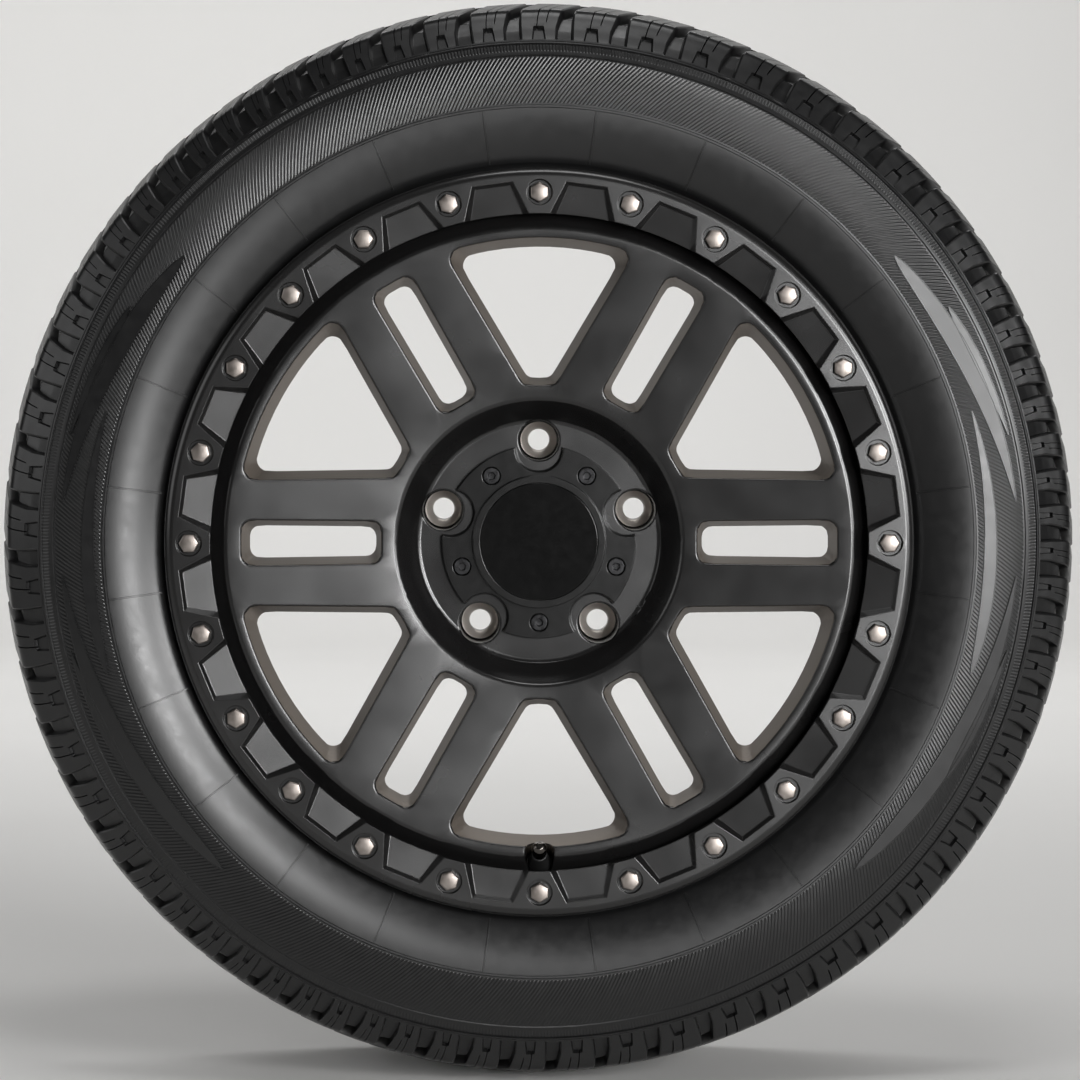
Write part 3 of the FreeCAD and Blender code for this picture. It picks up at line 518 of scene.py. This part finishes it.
hatched_faces = len(tyre_faces)
for side in (-1, 1):
    for number in range(VENT_COUNT):
        middle = math.radians(360 * (number + 0.5) / VENT_COUNT)
        sections = []
        for step in range(VENT_STEPS + 1):
            radius = VENT_FROM + VENT_LENGTH * step / VENT_STEPS
            foot = VENT_HALF / radius
            sections.append([
                (middle - foot, radius, VENT_FOOT), (middle - foot / 2, radius, VENT_HEIGHT),
                (middle + foot / 2, radius, VENT_HEIGHT), (middle + foot, radius, VENT_FOOT),
            ])
        raised_shape(sections, side)
    for centre in (0, 180):
        for start, end, low, high, width in BLADES:
            body = []
            low_edge = []
            high_edge = []
            for step in range(BLADE_STEPS + 1):
                share = step / BLADE_STEPS
                swell = math.sin(math.pi * share ** BLADE_SKEW) ** BLADE_FULLNESS
                taper = swell * width / 2 + BLADE_TIP
                radius = low + (high - low) * share ** BLADE_BEND
                angle = start + (end - start) * share
                place = math.radians(centre + (angle if centre == 0 else -angle))
                inner = radius - taper
                outer = radius + taper
                body.append(blade_section(place, inner, outer, BLADE_HEIGHT))
                low_edge.append(
                    blade_section(place, inner - RIDGE_HALF, inner + RIDGE_HALF, RIDGE_HEIGHT))
                high_edge.append(
                    blade_section(place, outer - RIDGE_HALF, outer + RIDGE_HALF, RIDGE_HEIGHT))
            raised_shape(body, side)
            raised_shape(low_edge, side)
            raised_shape(high_edge, side)

tyre_mesh = bpy.data.meshes.new("tyre_moulding")
tyre_mesh.from_pydata(tyre_points, [], tyre_faces)
tyre_piece = new_piece("tyre_moulding", tyre_mesh)
face_outwards(tyre_piece)
bpy.ops.object.shade_smooth_by_angle(angle=TREAD_SMOOTH)


def tyre_rubber(name, hatched):
    """Carbon black rubber as it leaves the mould: a soft sheen, cloudy and slightly scuffed.
    The hatched band carries fine slanting ridges, drawn a little coarser than the real ones."""
    material, place = new_material(name)
    cloud_size = 9 * MM
    grain_size = 1.6 * MM
    grain_height = 0.03
    relief = 0.5 * MM
    ridge = 3.0 * MM
    slant = 4.2 * MM
    band_middle = 340 * MM
    ring_ridge = 2.4 * MM
    ring_middle = 363 * MM
    flat = add(material, "ShaderNodeVectorMath", {
        0: (place, "Object"), 1: (1.0, 0.0, 1.0)}, operation="MULTIPLY")
    radius = add(material, "ShaderNodeVectorMath", {0: (flat, "Vector")}, operation="LENGTH")
    split = add(material, "ShaderNodeSeparateXYZ", {0: (place, "Object")})
    angle = add(material, "ShaderNodeMath", {0: (split, "Z"), 1: (split, "X")}, operation="ARCTAN2")
    cloud = add(material, "ShaderNodeTexNoise", {
        "Vector": (place, "Object"), "Scale": 1 / cloud_size, "Detail": 6.0, "Roughness": 0.7})
    grain = add(material, "ShaderNodeTexNoise", {
        "Vector": (place, "Object"), "Scale": 1 / grain_size, "Detail": 3.0})
    tint = add(material, "ShaderNodeMix", {
        "Factor": (cloud, "Fac"), "A": colour("#0c0c0d"), "B": colour("#141414")}, data_type="RGBA")
    gloss = add(material, "ShaderNodeMapRange", {
        "Value": (cloud, "Fac"), "From Min": 0.3, "From Max": 0.7, "To Min": 0.28, "To Max": 0.36})
    height = add(material, "ShaderNodeMath", {
        0: (grain, "Fac"), 1: grain_height}, operation="MULTIPLY")
    if hatched:
        # Each band: ridges around the tyre, their slant, from and to which radius, height
        bands = (
            (round(2 * math.pi * band_middle / ridge), 2 * math.pi / slant, 321.5, 355.8, 0.4),
            (round(2 * math.pi * ring_middle / ring_ridge), 0.0, 359.8, 365.2, 0.3),
        )
        for lines, radial, low, high, rise in bands:
            around = add(material, "ShaderNodeMath", {
                0: (angle, "Value"), 1: float(lines)}, operation="MULTIPLY")
            phase = add(material, "ShaderNodeMath", {
                0: (radius, "Value"), 1: radial, 2: (around, "Value")}, operation="MULTIPLY_ADD")
            wave = add(material, "ShaderNodeMath", {0: (phase, "Value")}, operation="SINE")
            above = add(material, "ShaderNodeMapRange", {
                "Value": (radius, "Value"), "From Min": low * MM, "From Max": (low + 1) * MM})
            below = add(material, "ShaderNodeMapRange", {
                "Value": (radius, "Value"), "From Min": high * MM, "From Max": (high - 1) * MM})
            band = add(material, "ShaderNodeMath", {
                0: (above, "Result"), 1: (below, "Result")}, operation="MULTIPLY")
            ridges = add(material, "ShaderNodeMath", {
                0: (wave, "Value"), 1: (band, "Value")}, operation="MULTIPLY")
            height = add(material, "ShaderNodeMath", {
                0: (ridges, "Value"), 1: rise, 2: (height, "Value")}, operation="MULTIPLY_ADD")
    bump = add(material, "ShaderNodeBump", {
        "Height": (height, "Value"), "Distance": relief, "Strength": 1.0})
    surface = add(material, "ShaderNodeBsdfPrincipled", {
        "Base Color": (tint, "Result"), "Roughness": (gloss, "Result"), "IOR": 1.56,
        "Normal": (bump, "Normal")})
    return finish_material(material, surface)


tyre_mesh.materials.append(tyre_rubber("moulded_rubber_hatched", True))
tyre_mesh.materials.append(tyre_rubber("moulded_rubber_smooth", False))
for face in tyre_mesh.polygons:
    face.material_index = 1 if face.index >= hatched_faces else 0
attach(tyre_piece, "road_wheel")
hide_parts("tyre")

# Trim ring: a turned and milled aluminium ring, bolted over the outer flange and painted like the
# wheel. Its pockets fall towards the middle, and each bolt has a sunk round seat.
RING_LOW, RING_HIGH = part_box("bead_ring")
RING_BORE = 241 * MM
RING_LIP = 7 * MM
RING_STEPS = 360
RING_EDGE = 0.4 * MM
LIP_STEPS = 8
BOLT_COUNT = 24
BOLT_CIRCLE = 256.5 * MM
SEAT_RADIUS = 9.35 * MM
SEAT_DEPTH = 4 * MM
SEAT_STEPS = 48
POCKET_END = 262 * MM
POCKET_DEPTH = 4 * MM
POCKET_HALF = 13 * MM
POCKET_FLARE = 12 / 42
POCKET_SLOPE = math.radians(6)
POCKET_DRAFT = math.radians(35)
POCKET_RUN = 30 * MM
POCKET_RISE = 11 * MM


def repeated_round(piece, count, start):
    """Copies a piece at even steps about the wheel's axis, and joins the copies."""
    activate(piece)
    bpy.ops.object.transform_apply(location=True, rotation=True, scale=True)
    copies = []
    for number in range(count):
        another = piece.copy()
        another.data = piece.data.copy()
        bpy.context.scene.collection.objects.link(another)
        another.rotation_euler = (0, 2 * math.pi * (number + start) / count, 0)
        copies.append(another)
    bpy.data.objects.remove(piece)
    activate(copies[0])
    for one in copies:
        one.select_set(True)
    bpy.ops.object.transform_apply(location=True, rotation=True, scale=True)
    bpy.ops.object.join()
    return copies[0]


ring_section = [(RING_BORE, RING_HIGH.y), (RING_BORE, RING_LOW.y)]
for step in range(LIP_STEPS + 1):
    turn = math.pi / 2 * step / LIP_STEPS
    ring_section.append((RING_HIGH.z - RING_LIP + RING_LIP * math.sin(turn),
                         RING_LOW.y + RING_LIP - RING_LIP * math.cos(turn)))
ring_section.append((RING_HIGH.z, RING_HIGH.y))

# The section turned about the axis point by point: the spin operator gives another order on each run
around = len(ring_section)
ring_points = []
ring_faces = []
for step in range(RING_STEPS):
    turn = 2 * math.pi * step / RING_STEPS
    here = step * around
    ahead = (step + 1) % RING_STEPS * around
    for number, (radius, along) in enumerate(ring_section):
        following = (number + 1) % around
        ring_points.append((radius * math.sin(turn), along, radius * math.cos(turn)))
        ring_faces.append((here + number, here + following, ahead + following, ahead + number))
ring_mesh = bpy.data.meshes.new("trim_ring")
ring_mesh.from_pydata(ring_points, [], ring_faces)
ring_piece = new_piece("trim_ring", ring_mesh)
face_outwards(ring_piece)

# The cutter of a pocket: a wedge that widens with its draft as it rises out of the sloping floor
bpy.ops.mesh.primitive_cube_add(size=2)
pocket = bpy.context.object
for corner in pocket.data.vertices:
    rise = POCKET_RISE if corner.co.z > 0 else 0.0
    grow = rise * math.tan(POCKET_DRAFT)
    along = grow if corner.co.y > 0 else -POCKET_RUN
    half = POCKET_HALF - POCKET_FLARE * along + grow * math.hypot(1, POCKET_FLARE)
    corner.co = (
        math.copysign(half, corner.co.x),
        RING_LOW.y + POCKET_DEPTH - along * math.sin(POCKET_SLOPE) - rise * math.cos(POCKET_SLOPE),
        POCKET_END + along * math.cos(POCKET_SLOPE) - rise * math.sin(POCKET_SLOPE))
face_outwards(pocket)
pockets = repeated_round(pocket, BOLT_COUNT, 0.5)
bpy.ops.mesh.primitive_cylinder_add(
    vertices=SEAT_STEPS, radius=SEAT_RADIUS, depth=2 * SEAT_DEPTH,
    location=(0, RING_LOW.y, BOLT_CIRCLE), rotation=(math.pi / 2, 0, 0))
seats = repeated_round(bpy.context.object, BOLT_COUNT, 0)
for cutter in (pockets, seats):
    apply_modifier(ring_piece, "BOOLEAN", object=cutter, operation="DIFFERENCE", solver="EXACT")
    bpy.data.objects.remove(cutter)
round_edges(ring_piece, RING_EDGE)
ring_mesh.materials.append(
    satin_graphite_paint("satin_graphite_paint_ring", "#131313", "#191818"))
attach(ring_piece, "road_wheel")
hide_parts("bead_ring")

# Ring bolts: cold headed steel bolts, nickel plated, with chamfered hexagon heads. They are tightened
# on the sunk seats of the trim ring and hold it to the flange.
BOLT_FLATS = 13 * MM
BOLT_CHAMFER = 1.3 * MM
BOLT_ROUND = 0.5 * MM
BOLT_SMOOTH = math.radians(40)
FRONT_FACING = -0.9
bolt_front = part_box("ring_bolts")[0].y
bolt_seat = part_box("ring_bolts")[1].y
bpy.ops.mesh.primitive_cylinder_add(
    vertices=6, radius=BOLT_FLATS / math.sqrt(3), depth=bolt_seat - bolt_front,
    location=(0, (bolt_seat + bolt_front) / 2, BOLT_CIRCLE), rotation=(math.pi / 2, 0, 0))
bolt = bpy.context.object
bpy.ops.object.transform_apply(location=True, rotation=True, scale=True)
bpy.ops.object.mode_set(mode="EDIT")
bpy.ops.mesh.select_all(action="DESELECT")
bpy.ops.object.mode_set(mode="OBJECT")
for face in bolt.data.polygons:
    face.select = face.normal.y < FRONT_FACING
bpy.ops.object.mode_set(mode="EDIT")
bpy.ops.mesh.select_mode(type="FACE")
bpy.ops.mesh.bevel(offset=BOLT_CHAMFER, segments=3, affect="EDGES")
bpy.ops.object.mode_set(mode="OBJECT")
apply_modifier(
    bolt, "BEVEL", width=BOLT_ROUND, segments=2, limit_method="ANGLE", angle_limit=SHARP_EDGE)
bolt = repeated_round(bolt, BOLT_COUNT, 0)
bolt.name = "ring_bolt_heads"
bpy.ops.object.shade_smooth_by_angle(angle=BOLT_SMOOTH)


def bright_metal(name, dark, light, roughness):
    """Plated steel or bare brass: bright, with soft cloudy patches where the surface dulls."""
    material, place = new_material(name)
    cloud_size = 4 * MM
    spread = 0.06
    cloud = add(material, "ShaderNodeTexNoise", {
        "Vector": (place, "Object"), "Scale": 1 / cloud_size, "Detail": 4.0})
    tint = add(material, "ShaderNodeMix", {
        "Factor": (cloud, "Fac"), "A": colour(dark), "B": colour(light)}, data_type="RGBA")
    gloss = add(material, "ShaderNodeMapRange", {
        "Value": (cloud, "Fac"), "From Min": 0.3, "From Max": 0.7,
        "To Min": roughness - spread, "To Max": roughness + spread})
    surface = add(material, "ShaderNodeBsdfPrincipled", {
        "Base Color": (tint, "Result"), "Metallic": 1.0, "Roughness": (gloss, "Result")})
    return finish_material(material, surface)


bolt.data.materials.clear()
bolt.data.materials.append(bright_metal("nickel_plated_steel", "#7b746f", "#a49c96", 0.36))
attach(bolt, "road_wheel")
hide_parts("ring_bolts")


# Centre cap: a flange of glossy black plastic, moulded with scallops round the lug wells and a
# raised rim, with a glossy disc set in the rim. Five black zinc socket screws hold it.
def glossy_plastic(name, tone, roughness):
    """Injection moulded plastic with a high polish: black, with faint dust in the gloss."""
    material, place = new_material(name)
    dust_size = 6 * MM
    dust = add(material, "ShaderNodeTexNoise", {
        "Vector": (place, "Object"), "Scale": 1 / dust_size, "Detail": 5.0})
    gloss = add(material, "ShaderNodeMapRange", {
        "Value": (dust, "Fac"), "From Min": 0.3, "From Max": 0.7,
        "To Min": roughness - 0.01, "To Max": roughness + 0.02})
    surface = add(material, "ShaderNodeBsdfPrincipled", {
        "Base Color": colour(tone), "Roughness": (gloss, "Result"), "IOR": 1.5})
    return finish_material(material, surface)


flange_plastic = glossy_plastic("gloss_black_plastic", "#131313", 0.2)
disc_plastic = glossy_plastic("polished_black_plastic", "#0c0c0c", 0.12)
for node_name, piece_name, edge, material in (
        ("cap_flange", "centre_cap_flange", 0.6 * MM, flange_plastic),
        ("cap_disc", "centre_cap_disc", 0.5 * MM, disc_plastic)):
    piece = rounded_copy(node_name, piece_name, edge)
    piece.data.materials.append(material)
    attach(piece, "road_wheel")
    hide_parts(node_name)
SCREW_EDGE = 0.4 * MM
screws_piece = rounded_copy("cap_screws", "centre_cap_screws", SCREW_EDGE)
screws_piece.data.materials.append(bright_metal("black_zinc_steel", "#2a2a2b", "#39393a", 0.3))
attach(screws_piece, "road_wheel")
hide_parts("cap_screws")


# Valve: a rubber bodied snap-in valve pulled through the rim, with a brass stem, a screwed-in core
# with its spring loaded pin, and a dark chromed cap with a rubber washer.
def valve_rubber_material(name):
    """Matte moulded rubber with a fine grain."""
    material, place = new_material(name)
    grain_size = 0.8 * MM
    grain_depth = 0.05 * MM
    grain = add(material, "ShaderNodeTexNoise", {
        "Vector": (place, "Object"), "Scale": 1 / grain_size, "Detail": 3.0})
    bump = add(material, "ShaderNodeBump", {
        "Height": (grain, "Fac"), "Distance": grain_depth, "Strength": 0.6})
    surface = add(material, "ShaderNodeBsdfPrincipled", {
        "Base Color": colour("#161616"), "Roughness": 0.5, "Normal": (bump, "Normal")})
    return finish_material(material, surface)


rubber = valve_rubber_material("valve_rubber")
brass = bright_metal("turned_brass", "#a98442", "#c9a25c", 0.3)
dark_chrome = bright_metal("dark_chrome", "#4c4946", "#6b6763", 0.16)
for node_name, body, edge, material, slot in (
        ("valve_rubber", "road_wheel", 0.7 * MM, rubber, "valve_rubber"),
        ("valve_stem", "road_wheel", 0.2 * MM, brass, "valve_brass"),
        ("valve_core", "road_wheel", 0.15 * MM, brass, "valve_brass"),
        ("valve_pin", "valve_pin", 0.1 * MM, brass, "valve_brass"),
        ("valve_cap", "valve_cap", 0.8 * MM, dark_chrome, "valve_cap_metal"),
        ("valve_cap_seal", "valve_cap", 0.15 * MM, rubber, "valve_rubber")):
    piece = rounded_copy(node_name, node_name + "_piece", edge)
    piece.data.materials.append(material)
    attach(piece, body)
    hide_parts(node_name)

# Stage: a pale floor that sweeps up to a backdrop, two soft boxes with grids at the front right, a weak
# one at the left, a small one above and one over the backdrop. The camera looks straight at the wheel
# from slightly above its axis. Sizes are in metres.
FLOOR_LEVEL = TYRE_LOW.z
FLOOR_FRONT = -2.8
FLOOR_BACK = 7.0
FLOOR_WIDTH = 18.0
BACKDROP_HEIGHT = 6.0
BACKDROP_SWEEP = 1.6
SWEEP_STEPS = 16
PATCHES_PER_METRE = 1.2
WORLD_STRENGTH = 0.06
bpy.ops.mesh.primitive_plane_add(size=1, location=(0, (FLOOR_FRONT + FLOOR_BACK) / 2, FLOOR_LEVEL))
floor = bpy.context.object
floor.name = "floor"
floor.scale = (FLOOR_WIDTH, FLOOR_BACK - FLOOR_FRONT, 1)
bpy.ops.object.transform_apply(location=True, rotation=True, scale=True)
bpy.ops.object.mode_set(mode="EDIT")
bpy.ops.mesh.select_all(action="DESELECT")
bpy.ops.object.mode_set(mode="OBJECT")
for edge in floor.data.edges:
    edge.select = all(floor.data.vertices[corner].co.y > 0 for corner in edge.vertices)
bpy.ops.object.mode_set(mode="EDIT")
bpy.ops.mesh.select_mode(type="EDGE")
bpy.ops.mesh.extrude_region_move(TRANSFORM_OT_translate={"value": (0, 0, BACKDROP_HEIGHT)})
bpy.ops.object.mode_set(mode="OBJECT")
apply_modifier(
    floor, "BEVEL", width=BACKDROP_SWEEP, segments=SWEEP_STEPS, limit_method="ANGLE",
    angle_limit=SHARP_EDGE)
activate(floor)
bpy.ops.object.shade_smooth()
floor_material, floor_place = new_material("pale_floor")
floor_cloud = add(floor_material, "ShaderNodeTexNoise", {
    "Vector": (floor_place, "Object"), "Scale": PATCHES_PER_METRE, "Detail": 2.0})
floor_tint = add(floor_material, "ShaderNodeMix", {
    "Factor": (floor_cloud, "Fac"), "A": colour("#eae9e7"), "B": colour("#f1f0ee")}, data_type="RGBA")
floor_surface = add(floor_material, "ShaderNodeBsdfPrincipled", {
    "Base Color": (floor_tint, "Result"), "Roughness": 0.8})
floor.data.materials.append(finish_material(floor_material, floor_surface))


def soft_light(name, place, target, width, height, power, spread):
    """A soft box that faces the target: its size, watts, and the degrees its grid lets through."""
    lamp = bpy.data.lights.new(name, "AREA")
    lamp.shape = "RECTANGLE"
    lamp.size = width
    lamp.size_y = height
    lamp.energy = power
    lamp.spread = math.radians(spread)
    light = bpy.data.objects.new(name, lamp)
    bpy.context.scene.collection.objects.link(light)
    light.location = place
    light.rotation_euler = (Vector(target) - Vector(place)).to_track_quat("-Z", "Y").to_euler()
    light.visible_camera = False


soft_light("key", (1.95, -6.8, 0.45), (0, 0, 0), 1.2, 1.7, 24, 60)
soft_light("side", (3.9, -4.6, 1.2), (0, 0, 0), 2.4, 2.2, 29, 60)
soft_light("fill", (-2.3, -0.9, 0.7), (0, 0, 0), 1.4, 1.4, 8, 180)
soft_light("top", (0.2, -0.9, 2.6), (0, 0, 0.3), 1.2, 0.6, 14, 180)
soft_light("backdrop", (0, 3.4, 3.6), (0, 5.2, -0.4), 6.0, 1.6, 150, 180)
world = bpy.data.worlds.new("studio")
bpy.context.scene.world = world
world.use_nodes = True
world.node_tree.nodes["Background"].inputs["Color"].default_value = colour("#ffffff")
world.node_tree.nodes["Background"].inputs["Strength"].default_value = WORLD_STRENGTH

CAMERA_DISTANCE = 3.128
CAMERA_RISE = math.radians(2.0)
CAMERA_ASIDE = math.radians(-0.5)
FOCAL_PIXELS = 4168
FRAME_PIXELS = 1080
SENSOR_WIDTH = 36
CAMERA_AIM = Vector((0.001, -0.022, -0.0003))
camera_data = bpy.data.cameras.new("camera")
camera = bpy.data.objects.new("camera", camera_data)
bpy.context.scene.collection.objects.link(camera)
camera_data.sensor_width = SENSOR_WIDTH
camera_data.lens = SENSOR_WIDTH * FOCAL_PIXELS / FRAME_PIXELS
camera.location = CAMERA_AIM + CAMERA_DISTANCE * Vector((
    math.sin(CAMERA_ASIDE) * math.cos(CAMERA_RISE),
    -math.cos(CAMERA_ASIDE) * math.cos(CAMERA_RISE),
    math.sin(CAMERA_RISE)))
camera.rotation_euler = (CAMERA_AIM - camera.location).to_track_quat("-Z", "Y").to_euler()
bpy.context.scene.camera = camera
bpy.context.scene.view_settings.view_transform = "Standard"
